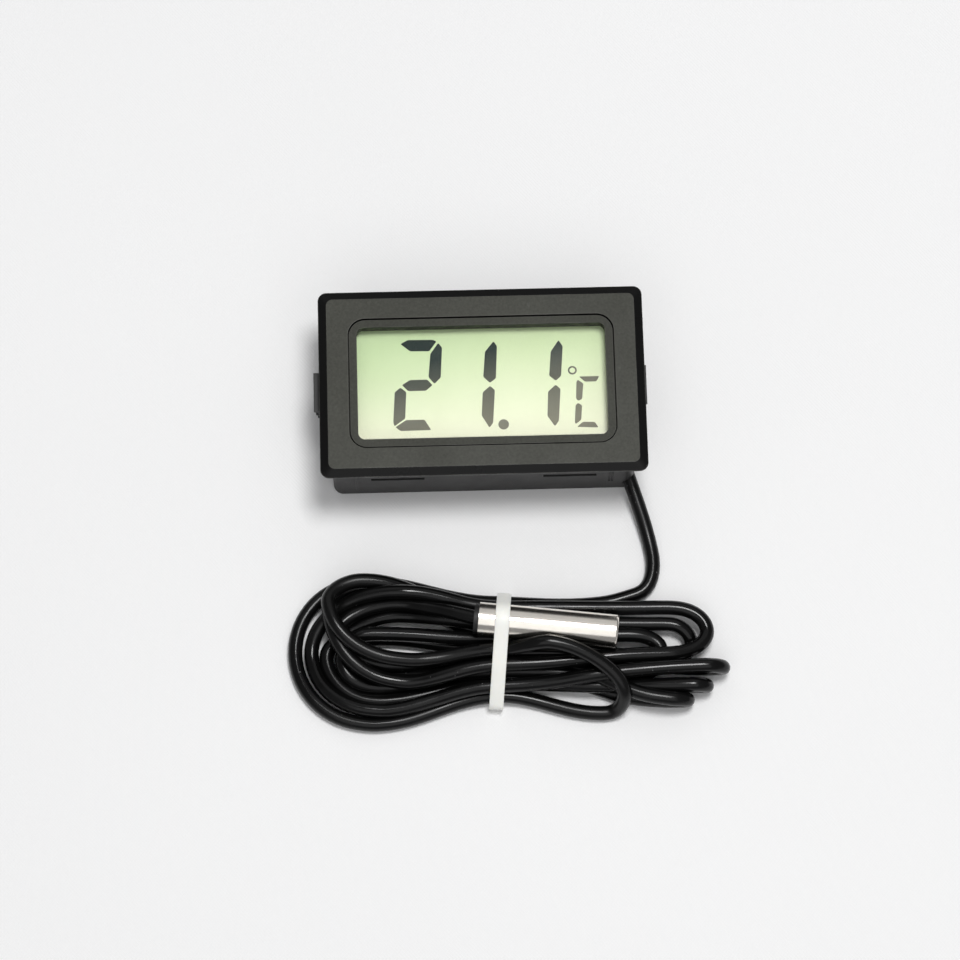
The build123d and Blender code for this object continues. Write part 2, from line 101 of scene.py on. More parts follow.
def sine(tree, value, pitch):
    return math_node(tree, "SINE", math_node(tree, "MULTIPLY", value, 2 * math.pi / pitch), 0.0)


def mix(tree, factor, a, b):
    return add(tree, "MixRGB", Fac=factor, Color1=a, Color2=b).outputs[0]


def grey(value, tint=(1, 1, 1)):
    return (value * tint[0], value * tint[1], value * tint[2], 1)


def shaded(colour, factor):
    """The colour made darker or lighter."""
    return [c * factor for c in colour[:3]] + [1]


def edge_mask(tree, radius, reach):
    """1 on the sharp edges of a piece, 0 on its flats."""
    rounded = add(tree, "Bevel", {"samples": 6}, Radius=radius).outputs[0]
    flat = add(tree, "NewGeometry").outputs["Normal"]
    dot = add(tree, "VectorMath", {"operation": "DOT_PRODUCT"})
    tree.links.new(rounded, dot.inputs[0])
    tree.links.new(flat, dot.inputs[1])
    return span(tree, dot.outputs["Value"], 1.0, 1.0 - reach), rounded


def moulded(name, colour, dust_and_highlight, roughness=0.45, edge=0.0002, specular=0.3, shaded_sides=None):
    """Moulded plastic: clouded colour, fine grain, dust, and a painted highlight on the edges.

    With a side colour, only the level faces have the grain, and the rest is smooth and of that darker
    colour, a painted shade."""
    material, tree = new_material(name)
    where = place_of(tree)
    cloud = span(tree, noise(tree, where, 0.016, 3), 0.3, 0.7)
    fine = noise(tree, where, 0.00035, 3)
    dust = span(tree, noise(tree, where, 0.0011, 4), 0.66, 0.74)
    # Painted highlight: the edges are lightened towards the pale dust colour, in uneven patches.
    mask, rounded = edge_mask(tree, edge, 0.035)
    highlight_patches = span(tree, noise(tree, where, 0.004, 3), 0.25, 0.6, 0.15, 0.7)
    mask = math_node(tree, "MULTIPLY", mask, highlight_patches)
    body = mix(tree, cloud, shaded(colour, 0.92), shaded(colour, 1.08))
    speckle = span(tree, fine, 0.3, 0.7, 0.86, 1.14)
    body = add(tree, "VectorMath", {"operation": "SCALE"}, Vector=body, Scale=speckle).outputs[0]
    body = mix(tree, math_node(tree, "MULTIPLY", dust, 0.10), body, dust_and_highlight)
    rough = span(tree, noise(tree, where, 0.006, 4), 0.3, 0.7, roughness - 0.05, roughness + 0.06)
    # Painted shade: walls and slopes take the darker side colour.
    if shaded_sides:
        facing = add(tree, "NewGeometry").outputs["True Normal"]
        level = span(tree, add(tree, "SeparateXYZ", Vector=facing).outputs[2], 0.955, 0.985)
        body = mix(tree, level, shaded_sides, body)
        rough = math_node(tree, "SUBTRACT", rough, span(tree, level, 0, 1, 0.12, 0))
    # Painted highlight on the edges.
    body = mix(tree, mask, body, dust_and_highlight)
    bump = add(tree, "Bump", Strength=0.4, Distance=0.000015, Height=fine, Normal=rounded).outputs[0]
    shader = add(
        tree, "BsdfPrincipled", Base_Color=body, Normal=bump, IOR=1.5,
        Specular_IOR_Level=specular, Roughness=rough,
    )
    finish_material(tree, shader.outputs[0])
    return material


def metal(name, colour, roughness, stretch=(1, 1, 1), size=0.0004, smudge=0.06, scratch=0.000002):
    """Polished or drawn metal with faint streaks and smudges."""
    material, tree = new_material(name)
    where = place_of(tree)
    streaks = noise(tree, place_of(tree, stretch), size, 3)
    smudges = noise(tree, where, 0.005, 4)
    shade = mix(tree, span(tree, smudges, 0.35, 0.7), colour, shaded(colour, 0.88))
    smudged = span(tree, smudges, 0.35, 0.7, roughness, roughness + smudge)
    rough = math_node(tree, "ADD", smudged, span(tree, streaks, 0.3, 0.7, 0, 0.05))
    bump = add(tree, "Bump", Strength=0.25, Distance=scratch, Height=streaks).outputs[0]
    shader = add(tree, "BsdfPrincipled", Base_Color=shade, Metallic=1.0, Roughness=rough, Normal=bump)
    finish_material(tree, shader.outputs[0])
    return material


def clear_sheet(name, tint, head_on, grazing, roughness):
    """A clear layer that lets light straight through and shines at low angles."""
    material, tree = new_material(name)
    facing = add(tree, "LayerWeight", Blend=0.5).outputs["Facing"]
    rise = math_node(tree, "MULTIPLY", math_node(tree, "POWER", facing, 4.0), grazing)
    smear = span(tree, noise(tree, place_of(tree), 0.006, 3), 0.3, 0.7, roughness * 0.7, roughness * 1.4)
    through = add(tree, "BsdfTransparent", Color=tint)
    shine = add(tree, "BsdfGlossy", {"distribution": "GGX"}, Color=(1, 1, 1, 1), Roughness=smear)
    both = tree.nodes.new("ShaderNodeMixShader")
    put(tree, both.inputs[0], math_node(tree, "ADD", rise, head_on))
    tree.links.new(through.outputs[0], both.inputs[1])
    tree.links.new(shine.outputs[0], both.inputs[2])
    finish_material(tree, both.outputs[0])
    return material


FILM_LOW, FILM_HIGH, FILM_LEFT = (0.97, 0.99, 0.79, 1), (0.67, 0.81, 0.51, 1), (0.60, 0.77, 0.46, 1)


def display_film(tree):
    """The display's pale green backing: lighter low down, deeper at the top left."""
    where = place_of(tree)
    split = add(tree, "SeparateXYZ", Vector=where)
    x, y = split.outputs[0], split.outputs[1]
    colour = mix(tree, span(tree, y, -0.008, 0.007), FILM_LOW, FILM_HIGH)
    leftness = math_node(tree, "MULTIPLY", span(tree, x, 0.004, -0.019), span(tree, y, -0.008, 0.009))
    colour = mix(tree, leftness, colour, FILM_LEFT)
    pearl = span(tree, noise(tree, where, 0.00025, 2), 0.3, 0.7, 0.98, 1.02)
    return add(tree, "VectorMath", {"operation": "SCALE"}, Vector=colour, Scale=pearl).outputs[0]


def reflector_look(name):
    material, tree = new_material(name)
    colour = display_film(tree)
    shader = add(tree, "BsdfPrincipled", Base_Color=colour, Roughness=0.8, Specular_IOR_Level=0.2)
    finish_material(tree, shader.outputs[0])
    return material


def graded(name, low, high, lean, low_colour, high_colour, roughness, specular, fleck=0.03):
    """A matt layer whose colour runs up the display, further up at its right where it leans."""
    material, tree = new_material(name)
    where = place_of(tree)
    split = add(tree, "SeparateXYZ", Vector=where)
    leant = math_node(tree, "MULTIPLY", split.outputs[0], lean)
    run = span(tree, math_node(tree, "SUBTRACT", split.outputs[1], leant), low * MM, high * MM)
    colour = mix(tree, run, low_colour, high_colour)
    colour = mix(tree, span(tree, split.outputs[0], 0.0131, 0.0135, 0, 0.5), colour, low_colour)
    pearl = span(tree, noise(tree, where, 0.00025, 2), 0.3, 0.7, 1 - fleck, 1 + fleck)
    colour = add(tree, "VectorMath", {"operation": "SCALE"}, Vector=colour, Scale=pearl).outputs[0]
    shader = add(
        tree, "BsdfPrincipled", Base_Color=colour, Roughness=roughness, Specular_IOR_Level=specular,
    )
    finish_material(tree, shader.outputs[0])
    return material


def striped(name, axis, pitch, first, second, roughness):
    """Two colours in even bands across an axis, soft at their borders."""
    material, tree = new_material(name)
    where = place_of(tree)
    along = add(tree, "SeparateXYZ", Vector=where).outputs[axis]
    wave = sine(tree, along, pitch)
    shade = mix(tree, span(tree, wave, -0.3, 0.3), first, second)
    shade = mix(tree, math_node(tree, "MULTIPLY", noise(tree, where, 0.0008, 3), 0.25), shade, grey(0.3))
    bump = add(tree, "Bump", Strength=0.3, Distance=0.00002, Height=wave).outputs[0]
    shader = add(tree, "BsdfPrincipled", Base_Color=shade, Roughness=roughness, Normal=bump)
    finish_material(tree, shader.outputs[0])
    return material


def cable_skin(name, colour, bright, roughness, specular=0.5):
    """Soft vinyl: near black, lightly mottled, with a few specks of dust."""
    material, tree = new_material(name)
    where = place_of(tree)
    mottle = span(tree, noise(tree, where, 0.003, 3), 0.35, 0.65)
    speck = span(tree, noise(tree, where, 0.0005, 2), 0.74, 0.78)
    shade = mix(tree, mottle, colour, bright)
    shade = mix(tree, math_node(tree, "MULTIPLY", speck, 0.25), shade, grey(0.35))
    dimples = noise(tree, where, 0.0006, 3)
    bump = add(tree, "Bump", Strength=0.3, Distance=0.00001, Height=dimples).outputs[0]
    handled = noise(tree, where, 0.009, 2)
    shader = add(
        tree, "BsdfPrincipled", Base_Color=shade, Normal=bump, IOR=1.5, Specular_IOR_Level=specular,
        Roughness=span(tree, handled, 0.35, 0.65, roughness - 0.04, roughness + 0.16),
    )
    finish_material(tree, shader.outputs[0])
    return material


def glossy_blob(name, colour, roughness, coat):
    """Cast resin or fired ceramic: uneven, shiny, slightly bumpy."""
    material, tree = new_material(name)
    where = place_of(tree)
    shade = mix(tree, noise(tree, where, 0.0009, 3), shaded(colour, 0.8), shaded(colour, 1.2))
    waves = noise(tree, where, 0.0012, 2)
    bump = add(tree, "Bump", Strength=0.4, Distance=0.00004, Height=waves).outputs[0]
    shader = add(
        tree, "BsdfPrincipled", Base_Color=shade, Normal=bump, Coat_Weight=coat,
        Roughness=span(tree, noise(tree, where, 0.0007, 3), 0.3, 0.7, roughness - 0.05, roughness + 0.1),
    )
    finish_material(tree, shader.outputs[0])
    return material


def circuit(name):
    """Green solder mask over fine copper tracks."""
    material, tree = new_material(name)
    where = place_of(tree)
    split = add(tree, "SeparateXYZ", Vector=where)
    wobble = math_node(tree, "MULTIPLY", noise(tree, where, 0.006, 0), 0.003)
    lane = math_node(tree, "ADD", split.outputs[1], wobble)
    wave = sine(tree, lane, 0.0011)
    track = span(tree, wave, 0.35, 0.5)
    shade = mix(tree, track, (0.010, 0.070, 0.025, 1), (0.030, 0.150, 0.050, 1))
    shade = mix(tree, math_node(tree, "MULTIPLY", noise(tree, where, 0.004, 3), 0.2), shade, grey(0.04))
    bump = add(tree, "Bump", Strength=0.5, Distance=0.00003, Height=track).outputs[0]
    shader = add(tree, "BsdfPrincipled", Base_Color=shade, Roughness=0.35, Normal=bump, Coat_Weight=0.3)
    finish_material(tree, shader.outputs[0])
    return material


def milky(name, colour):
    """Nylon of the cable tie: cream white, waxy, a little light goes in."""
    material, tree = new_material(name)
    where = place_of(tree)
    shade = mix(tree, noise(tree, where, 0.004, 3), colour, shaded(colour, 0.94))
    dimples = noise(tree, where, 0.0007, 3)
    bump = add(tree, "Bump", Strength=0.3, Distance=0.00001, Height=dimples).outputs[0]
    shader = add(
        tree, "BsdfPrincipled", Base_Color=shade, Normal=bump, Subsurface_Weight=0.25,
        Subsurface_Radius=(1.0, 0.9, 0.7), Subsurface_Scale=0.0006,
        Roughness=span(tree, noise(tree, where, 0.002, 3), 0.3, 0.7, 0.36, 0.5),
    )
    finish_material(tree, shader.outputs[0])
    return material


CASE = grey(0.052, (1.0, 1.02, 0.84))
# Pale colour for the dust specks and for the painted highlight on the edges.
CASE_DUST_AND_HIGHLIGHT = grey(0.15, (1.0, 1.0, 0.92))
# Painted shade for the walls and slopes of the front and the surround.
CASE_SHADED_SIDES = grey(0.005, (1.0, 1.0, 0.98))
BRIGHT_METAL = grey(0.80, (1.0, 0.98, 0.94))
INK_LOW, INK_HIGH = (0.23, 0.225, 0.175, 1), (0.022, 0.036, 0.034, 1)

looks = {
    "bezel": moulded("case_plastic_front", CASE, CASE_DUST_AND_HIGHLIGHT, 0.42, specular=0.14, shaded_sides=CASE_SHADED_SIDES),
    "surround": moulded(
        "case_plastic_surround", grey(0.055, (1.0, 1.02, 0.86)), CASE_DUST_AND_HIGHLIGHT, 0.50,
        edge=0.00015, specular=0.08, shaded_sides=CASE_SHADED_SIDES,
    ),
    "housing": moulded("case_plastic_rear", grey(0.026, (1.0, 0.99, 0.97)), grey(0.06), 0.50),
    "door": moulded("case_plastic_door", grey(0.028, (1.0, 1.0, 0.96)), grey(0.07), 0.52),
    "arms": moulded("case_plastic_arms", grey(0.020, (1.0, 1.0, 0.98)), grey(0.08), 0.38),
    "clamp": moulded("case_plastic_clamp", grey(0.026), grey(0.08), 0.55),
    "polarizer": clear_sheet("polarizer_film", (1.0, 1.0, 0.995, 1), 0.012, 0.5, 0.2),
    "glass": clear_sheet("display_glass", (1.0, 1.0, 0.995, 1), 0.002, 0.25, 0.05),
    "reflector": reflector_look("display_reflector"),
    "segments": graded("display_segments", -7.0, 5.5, 0.16, INK_LOW, INK_HIGH, 0.6, 0.1),
    "zebra": striped("zebra_rubber", 0, 0.0002, grey(0.045, (1, 0.9, 0.88)), grey(0.012), 0.6),
    "board": circuit("circuit_board"),
    "resin": glossy_blob("black_resin", grey(0.012), 0.22, 0.5),
    "ceramic": glossy_blob("ceramic_parts", (0.30, 0.20, 0.11, 1), 0.45, 0.1),
    "plating": metal("plated_metal", BRIGHT_METAL, 0.22),
    "cell": metal("cell_steel", grey(0.72, (1.0, 0.99, 0.97)), 0.26, (1, 12, 1), 0.0006),
    "steel": metal(
        "probe_steel", grey(0.88, (1.0, 0.95, 0.87)), 0.15,
        stretch=(0.05, 1, 1), size=0.0005, smudge=0.05, scratch=0.000001,
    ),
    "jacket": cable_skin("cable_jacket", grey(0.002, (1.0, 1.0, 0.97)), grey(0.004), 0.17, 0.25),
    "red": cable_skin("wire_red", (0.42, 0.012, 0.010, 1), (0.52, 0.02, 0.015, 1), 0.38),
    "black": cable_skin("wire_black", grey(0.014), grey(0.02), 0.40),
    "potting": glossy_blob("sleeve_potting", grey(0.006), 0.5, 0.0),
    "bead": glossy_blob("bead_glass", (0.25, 0.06, 0.03, 1), 0.12, 0.8),
    "tie": milky("tie_plastic", (0.94, 0.94, 0.88, 1)),
}

NODE_LOOKS = {
    "bezel": ["front_bezel"],
    "surround": ["display_surround"],
    "housing": ["rear_housing"],
    "door": ["battery_door"],
    "arms": ["snap_arm_left", "snap_arm_right"],
    "clamp": ["cable_clamp"],
    "polarizer": ["lcd_front_polarizer"],
    "glass": ["lcd_front_glass", "lcd_rear_glass"],
    "reflector": ["lcd_reflector"],
    "zebra": ["zebra_strip"],
    "board": ["circuit_board"],
    "resin": ["chip_blob", "smd_resistors"],
    "ceramic": ["smd_capacitors"],
    "plating": [
        "quartz_crystal", "solder_joints", "battery_contact_positive", "battery_contact_negative",
        "battery_contact_bridge", "thermistor_leads",
    ],
    "cell": ["battery_cell_left", "battery_cell_right"],
    "steel": ["probe_sleeve"],
    "jacket": ["cable_tail", "sensor_cable", "cable_hank", "probe_cable_end"],
    "red": ["wire_red"],
    "black": ["wire_black"],
    "potting": ["probe_potting"],
    "bead": ["thermistor_bead"],
    "tie": ["cable_tie"],
}
for look, names in NODE_LOOKS.items():
    for name in names:
        for slot in nodes[name].material_slots:
            slot.material = looks[look]

# ------------------------------------------------------------------ the cord

CORD = 2.16                     # millimetres, as all of the hank is
RADIUS = CORD / 2
LEAD = [                        # the lead's route, in metres
    (0.0219, -0.0125, 0.00275), (0.02315, -0.0163, 0.0020), (0.02435, -0.0206, 0.0011),
    (0.0251, -0.0251, 0.0011), (0.0239, -0.0288, 0.0011), (0.0205, -0.0299, 0.0011),
    (0.0172, -0.0307, 0.0011), (0.0108, -0.0309, 0.0011),
]
TIE_CENTRE = np.array([1.75, -37.9])
TIE_HEADING = math.radians(84.4)
TIE_ALONG = np.array([math.cos(TIE_HEADING), math.sin(TIE_HEADING)])
TIE_ACROSS = np.array([TIE_ALONG[1], -TIE_ALONG[0]])
TIE_WIDTH = 2.1
TIE_THICKNESS = 0.42
TIE_SLACK = 0.6                 # how far the band's loop hangs past the lowest strand
PROBE_RADIUS = 2.5
PROBE_END = np.array([-1.35, -34.0, 6.7])
PROBE_HEADING = math.radians(-6.9)
PROBE_WAY = np.array([math.cos(PROBE_HEADING), math.sin(PROBE_HEADING), 0])

# Where the strands pass through the tie: how far down the page, and which layer.
BOTTOM, SECOND, THIRD = 1.58, 3.4, 5.2
SLOTS = {
    "b1": (-30.4, BOTTOM), "b2": (-32.7, BOTTOM), "b3": (-35.0, BOTTOM), "b4": (-37.3, BOTTOM),
    "b5": (-39.6, BOTTOM), "b6": (-42.1, BOTTOM), "b7": (-44.3, BOTTOM),
    "t1": (-31.5, SECOND), "t2": (-33.9, SECOND), "t3": (-36.2, SECOND), "t4": (-38.5, SECOND),
    "t5": (-41.0, SECOND), "t6": (-43.3, SECOND), "u1": (-38.4, 6.6), "u2": (-40.6, THIRD),
}
ROUND, FLATTER, FLATTEST = 0.55, 0.35, 0.33

# Each half turn of the hank: slot it leaves, where its first side is widest, its tip, where its
# last side is widest, slot it comes back to, and how full its two shoulders are.
HALF_TURNS = [
    ("b1", (-19.0, -26.8, 1.1), (-28.7, -37.2, 1.2), (-18.0, -48.1, 1.1), "b7", ROUND, ROUND),
    ("b7", (16.6, -47.3, 1.1), (20.1, -44.7, 4.6), (9.0, -38.0, 9.0), "u1", ROUND, FLATTEST),
    ("u1", (-11.5, -39.7, 5.0), (-23.6, -31.1, 5.4), (-18.5, -27.3, 5.0), "b2", ROUND, ROUND),
    ("b2", (22.0, -41.4, 1.1), (25.6, -38.6, 2.0), (21.0, -35.8, 3.2), "t3", ROUND, ROUND),
    ("t3", (-17.4, -35.0, 3.0), (-21.2, -38.6, 2.0), (-17.2, -42.0, 1.3), "b5", ROUND, ROUND),
    ("b5", (27.0, -45.6, 1.1), (29.1, -45.9, 2.8), (26.6, -46.1, 4.5), "b4", ROUND, ROUND),
    ("b4", (-17.2, -35.2, 1.1), (-20.8, -38.3, 1.1), (-17.2, -41.4, 1.1), "t5", ROUND, ROUND),
    ("t5", (29.9, -43.4, 1.1), (32.0, -43.9, 2.9), (29.4, -44.0, 4.7), "b6", ROUND, ROUND),
    ("b6", (-16.5, -44.9, 1.1), (-24.2, -37.8, 1.3), (-14.3, -31.8, 2.6), "t2", ROUND, FLATTER),
    ("t2", (26.6, -34.4, 3.0), (30.0, -37.2, 1.8), (26.0, -39.8, 1.1), "b3", ROUND, ROUND),
    ("b3", (-18.3, -27.6, 3.0), (-23.2, -31.5, 3.4), (-12.5, -42.5, 3.6), "u2", ROUND, ROUND),
    ("u2", (26.5, -39.3, 4.0), (32.4, -35.7, 3.4), (27.0, -32.0, 3.6), "t1", ROUND, ROUND),
    ("t1", (-15.4, -28.8, 4.2), (-26.2, -37.0, 1.2), (-15.5, -46.2, 1.4), "t6", ROUND, ROUND),
    ("t6", (31.6, -41.4, 5.5), (34.5, -41.3, 3.3), (32.0, -40.8, 1.1), "t4", ROUND, ROUND),
    ("t4", (-12.0, -40.2, 2.8), (-22.4, -34.8, 3.4), (-14.3, -30.4, 3.6), None, ROUND, ROUND),
]
RUN_POINTS, END_POINTS = 7, 4
SIDE_PULL = 0.38                # how straight a side leaves the tie and meets its shoulder
SLEEVE_DEPTH, SLEEVE_PULL = 2.0, 5.0


def slot_point(name):
    """Where a strand passes through the middle of the tie."""
    y, z = SLOTS[name]
    return np.array([TIE_CENTRE[0] + (y - TIE_CENTRE[1]) * TIE_ALONG[0] / TIE_ALONG[1], y, z])


def bend(a, b, c, d, count):
    """Points along one smooth bend from a to d, after a itself."""
    t = np.linspace(0, 1, count + 1)[1:, None]
    return (1 - t) ** 3 * a + 3 * t * (1 - t) ** 2 * b + 3 * t**2 * (1 - t) * c + t**3 * d


def half_turn(start, first, tip, last, end, full_in, full_out, end_pull=None):
    """Points of one half turn: out along a side, round the tip and back."""
    first, tip, last = (np.array(p, float) for p in (first, tip, last))
    sideways = np.array([1, 0, 0])
    upright = np.array([0, 1, 1])
    out_pull = SIDE_PULL * (first - start) * sideways
    back_pull = SIDE_PULL * (end - last) * sideways
    onward, homeward = full_in * (tip - first), full_out * (last - tip)
    if end_pull is None:
        end_pull = back_pull
    return np.concatenate([
        bend(start, start + out_pull, first - out_pull, first, RUN_POINTS),
        bend(first, first + onward * sideways, tip - onward * upright, tip, END_POINTS),
        bend(tip, tip + homeward * upright, last - homeward * sideways, last, END_POINTS),
        bend(last, last + back_pull, end - end_pull, end, RUN_POINTS),
    ])


def hank_turns():
    """The turns from the first pass through the tie to the mouth of the probe's sleeve."""
    points = [slot_point("b1")[None]]
    for leaves, first, tip, last, back, full_in, full_out in HALF_TURNS:
        if back:
            end, end_pull = slot_point(back), None
        else:
            end, end_pull = PROBE_END + PROBE_WAY * SLEEVE_DEPTH, PROBE_WAY * SLEEVE_PULL
        points.append(half_turn(slot_point(leaves), first, tip, last, end, full_in, full_out, end_pull))
    return np.concatenate(points)


def spline_weights(count, steps):
    """How much each control point counts at each sample of the smooth line."""
    knots = np.concatenate([[0, 0], np.arange(count - 1), [count - 2, count - 2]]).astype(float)
    rows = []
    for run in range(count - 2):
        k = run + 2
        before, start, stop, after = knots[k - 1], knots[k], knots[k + 1], knots[k + 2]
        for step in range(steps):
            t = run + step / steps
            share = t - start
            left = (t - before) / (stop - before)
            right = (t - start) / (after - start)
            row = np.zeros(count)
            row[k - 2] = (1 - share) * (1 - left)
            row[k - 1] = (1 - share) * left + share * (1 - right)
            row[k] = share * right
            rows.append(row)
    rows.append(np.eye(count)[-1])
    return np.array(rows)


SETTLE_ROUNDS = 260
LOOK_AGAIN = 10                 # rounds between two searches for strands that touch
TOUCHING = 1.7 * CORD           # how near counts as a neighbour
SAME_STRETCH = 2.2 * CORD       # nearer than this along the cord doesn't count as touching
PUSH, PUSH_WAY = 0.8, (0.45, 0.45, 1.0)
SINK = 0.03
PROBE_PUSH, PROBE_LENGTH = 0.8, 21.0
KEEP_TO_PLAN = (0.10, 0.10, 0.06)
EASE_ACROSS, EASE_UP = 0.3, 0.12
HELD_AT_SLEEVE = 4
FREE_IN_SLEEVE = 8
TIE_LIFT_REACH = 4.0            # how far from the tie the strands still ride on its thickness


def settle(points, fixed):
    """Lets the turns push each other apart and sink on the floor, without leaving their plan."""
    steps = 3
    weights = spline_weights(len(points), steps)
    spread = weights.T / weights.T.sum(axis=1, keepdims=True)
    planned = points.copy()
    planned_line = weights @ planned
    free = np.ones(len(points))
    free[:fixed] = 0
    lengths = np.linalg.norm(np.diff(planned_line, axis=0), axis=1)
    travelled = np.concatenate([[0], np.cumsum(lengths)])
    in_sleeve = np.arange(len(planned_line)) > len(planned_line) - FREE_IN_SLEEVE * steps
    for step in range(SETTLE_ROUNDS):
        line = weights @ points
        if step % LOOK_AGAIN == 0:
            gaps = np.linalg.norm(line[:, None] - line[None], axis=2)
            apart = np.abs(travelled[:, None] - travelled[None]) > SAME_STRETCH
            one, two = np.nonzero(np.triu((gaps < TOUCHING) & apart))
        move = np.zeros_like(line)
        between = line[two] - line[one]
        gap = np.linalg.norm(between, axis=1) + 1e-9
        way = between * PUSH_WAY
        way /= np.linalg.norm(way, axis=1)[:, None] + 1e-9
        push = np.clip(CORD - gap, 0, None)[:, None] * way * PUSH
        hits = np.full(len(line), 1e-9)
        np.add.at(hits, one, gap < CORD)
        np.add.at(hits, two, gap < CORD)
        np.add.at(move, one, -push)
        np.add.at(move, two, push)
        move /= np.maximum(hits, 1)[:, None]
        move[:, 2] -= SINK
        from_end = line - PROBE_END
        along = from_end @ PROBE_WAY
        out = from_end - along[:, None] * PROBE_WAY
        reach = np.linalg.norm(out, axis=1) + 1e-9
        clear = PROBE_RADIUS + RADIUS
        under = (along > -0.5) & (along < PROBE_LENGTH) & (reach < clear) & ~in_sleeve
        move[under] += (out / reach[:, None] * (clear - reach)[:, None])[under] * PROBE_PUSH
        move += (planned_line - line) * KEEP_TO_PLAN
        points = points + free[:, None] * (spread @ move)
        ease = np.zeros_like(points)
        ease[1:-1] = (points[:-2] + points[2:]) / 2 - points[1:-1]
        meant = np.zeros_like(points)
        meant[1:-1] = (planned[:-2] + planned[2:]) / 2 - planned[1:-1]
        points[:, :2] += free[:, None] * EASE_ACROSS * (ease - meant)[:, :2]
        points[:, 2] += free * EASE_UP * (ease - meant)[:, 2]
        from_tie = (points[:, :2] - TIE_CENTRE) @ TIE_ACROSS
        ground = RADIUS + (BOTTOM - RADIUS) * np.exp(-(from_tie / TIE_LIFT_REACH) ** 2)
        points[:, 2] = np.where(free > 0, np.maximum(points[:, 2], ground), points[:, 2])
        points[-HELD_AT_SLEEVE:] = planned[-HELD_AT_SLEEVE:]
    return points


def cord_curve(name, points):
    data = bpy.data.curves.new(name, "CURVE")
    data.dimensions = "3D"
    data.bevel_depth = RADIUS * MM
    data.bevel_resolution = 5
    data.resolution_u = 4
    data.use_fill_caps = True
    spline = data.splines.new("NURBS")
    spline.points.add(len(points) - 1)
    for point, place in zip(spline.points, points):
        point.co = (*place, 1)
    spline.order_u = 3
    spline.use_endpoint_u = True
    data.materials.append(looks["jacket"])
    made = bpy.data.objects.new(name, data)
    bpy.context.scene.collection.objects.link(made)
    return made


turns = settle(np.concatenate([np.array(LEAD) / MM, hank_turns()]), len(LEAD))[len(LEAD):]
cord = cord_curve("sensor_cord", LEAD + [tuple(p) for p in turns * MM])

# ------------------------------------------------------------------- the tie


def mesh_object(name, mesh_maker, look, smooth=True):
    mesh = bpy.data.meshes.new(name)
    shape = bmesh.new()
    mesh_maker(shape)
    bmesh.ops.recalc_face_normals(shape, faces=shape.faces)
    shape.to_mesh(mesh)
    shape.free()
    mesh.polygons.foreach_set("use_smooth", [smooth] * len(mesh.polygons))
    mesh.materials.append(looks[look])
    made = bpy.data.objects.new(name, mesh)
    bpy.context.scene.collection.objects.link(made)
    return made


def hull(points):
    """The tight loop round a set of flat points, anticlockwise."""
    points = sorted(map(tuple, points))

    def chain(ordered):
        kept = []
        for p in ordered:
            while len(kept) > 1:
                (ax, ay), (bx, by) = kept[-2], kept[-1]
                if (bx - ax) * (p[1] - ay) - (by - ay) * (p[0] - ax) > 0:
                    break
                kept.pop()
            kept.append(p)
        return kept[:-1]

    return np.array(chain(points) + chain(points[::-1]))


def even_loop(loop, step):
    """The same closed loop with evenly spaced points."""
    closed = np.concatenate([loop, loop[:1]])
    lengths = np.concatenate([[0], np.cumsum(np.linalg.norm(np.diff(closed, axis=0), axis=1))])
    spots = np.linspace(0, lengths[-1], int(lengths[-1] / step), endpoint=False)
    return np.stack([np.interp(spots, lengths, closed[:, i]) for i in range(2)], axis=1)


def tie_loop():
    """The tight loop that the tie makes round the strands and the probe, in its own plane."""
    line = spline_weights(len(LEAD) + len(turns), 6) @ np.concatenate([np.array(LEAD) / MM, turns])
    side = (line[:, :2] - TIE_CENTRE) @ TIE_ACROSS
    rings = []
    for i in np.nonzero(side[:-1] * side[1:] < 0)[0]:
        share = side[i] / (side[i] - side[i + 1])
        spot = line[i] + share * (line[i + 1] - line[i])
        rings.append(((spot[:2] - TIE_CENTRE) @ TIE_ALONG, spot[2], RADIUS))
    to_tie = ((TIE_CENTRE - PROBE_END[:2]) @ TIE_ACROSS) / (PROBE_WAY[:2] @ TIE_ACROSS)
    spot = PROBE_END + PROBE_WAY * to_tie
    rings.append(((spot[:2] - TIE_CENTRE) @ TIE_ALONG, spot[2], PROBE_RADIUS))
    low_side, low_height, _ = min(rings)
    rings.append((low_side - TIE_SLACK, low_height + 0.4, RADIUS))
    angles = np.linspace(0, 2 * math.pi, 48, endpoint=False)
    reach = 0.02 + TIE_THICKNESS / 2
    around = [
        (s + (r + reach) * math.cos(a), z + (r + reach) * math.sin(a))
        for s, z, r in rings for a in angles
    ]
    return even_loop(hull(around), 0.3)


def tie_band(shape):
    loop = tie_loop()
    ahead = np.roll(loop, -1, axis=0) - np.roll(loop, 1, axis=0)
    outward = np.stack([ahead[:, 1], -ahead[:, 0]], axis=1)
    outward /= np.linalg.norm(outward, axis=1)[:, None]
    w, t, c = TIE_WIDTH / 2, TIE_THICKNESS / 2, 0.13
    section = [
        (-w + c, -t), (0, -t), (w - c, -t), (w - c * 0.3, -t + c * 0.3), (w, -t + c), (w, t - c),
        (w - c * 0.3, t - c * 0.3), (w - c, t), (0, t + 0.04), (-w + c, t), (-w + c * 0.3, t - c * 0.3),
        (-w, t - c), (-w, -t + c), (-w + c * 0.3, -t + c * 0.3),
    ]
    rings = []
    for (s, z), (ns, nz) in zip(loop, outward):
        ring = []
        for across, out in section:
            flat = TIE_CENTRE + TIE_ALONG * (s + ns * out) + TIE_ACROSS * across
            ring.append(shape.verts.new((flat[0] * MM, flat[1] * MM, (z + nz * out) * MM)))
        rings.append(ring)
    for one, two in zip(rings, rings[1:] + rings[:1]):
        for i in range(len(section)):
            j = (i + 1) % len(section)
            shape.faces.new((one[i], one[j], two[j], two[i]))


tie = mesh_object("tie_band", tie_band, "tie")

# ------------------------------------------------------------ display figures

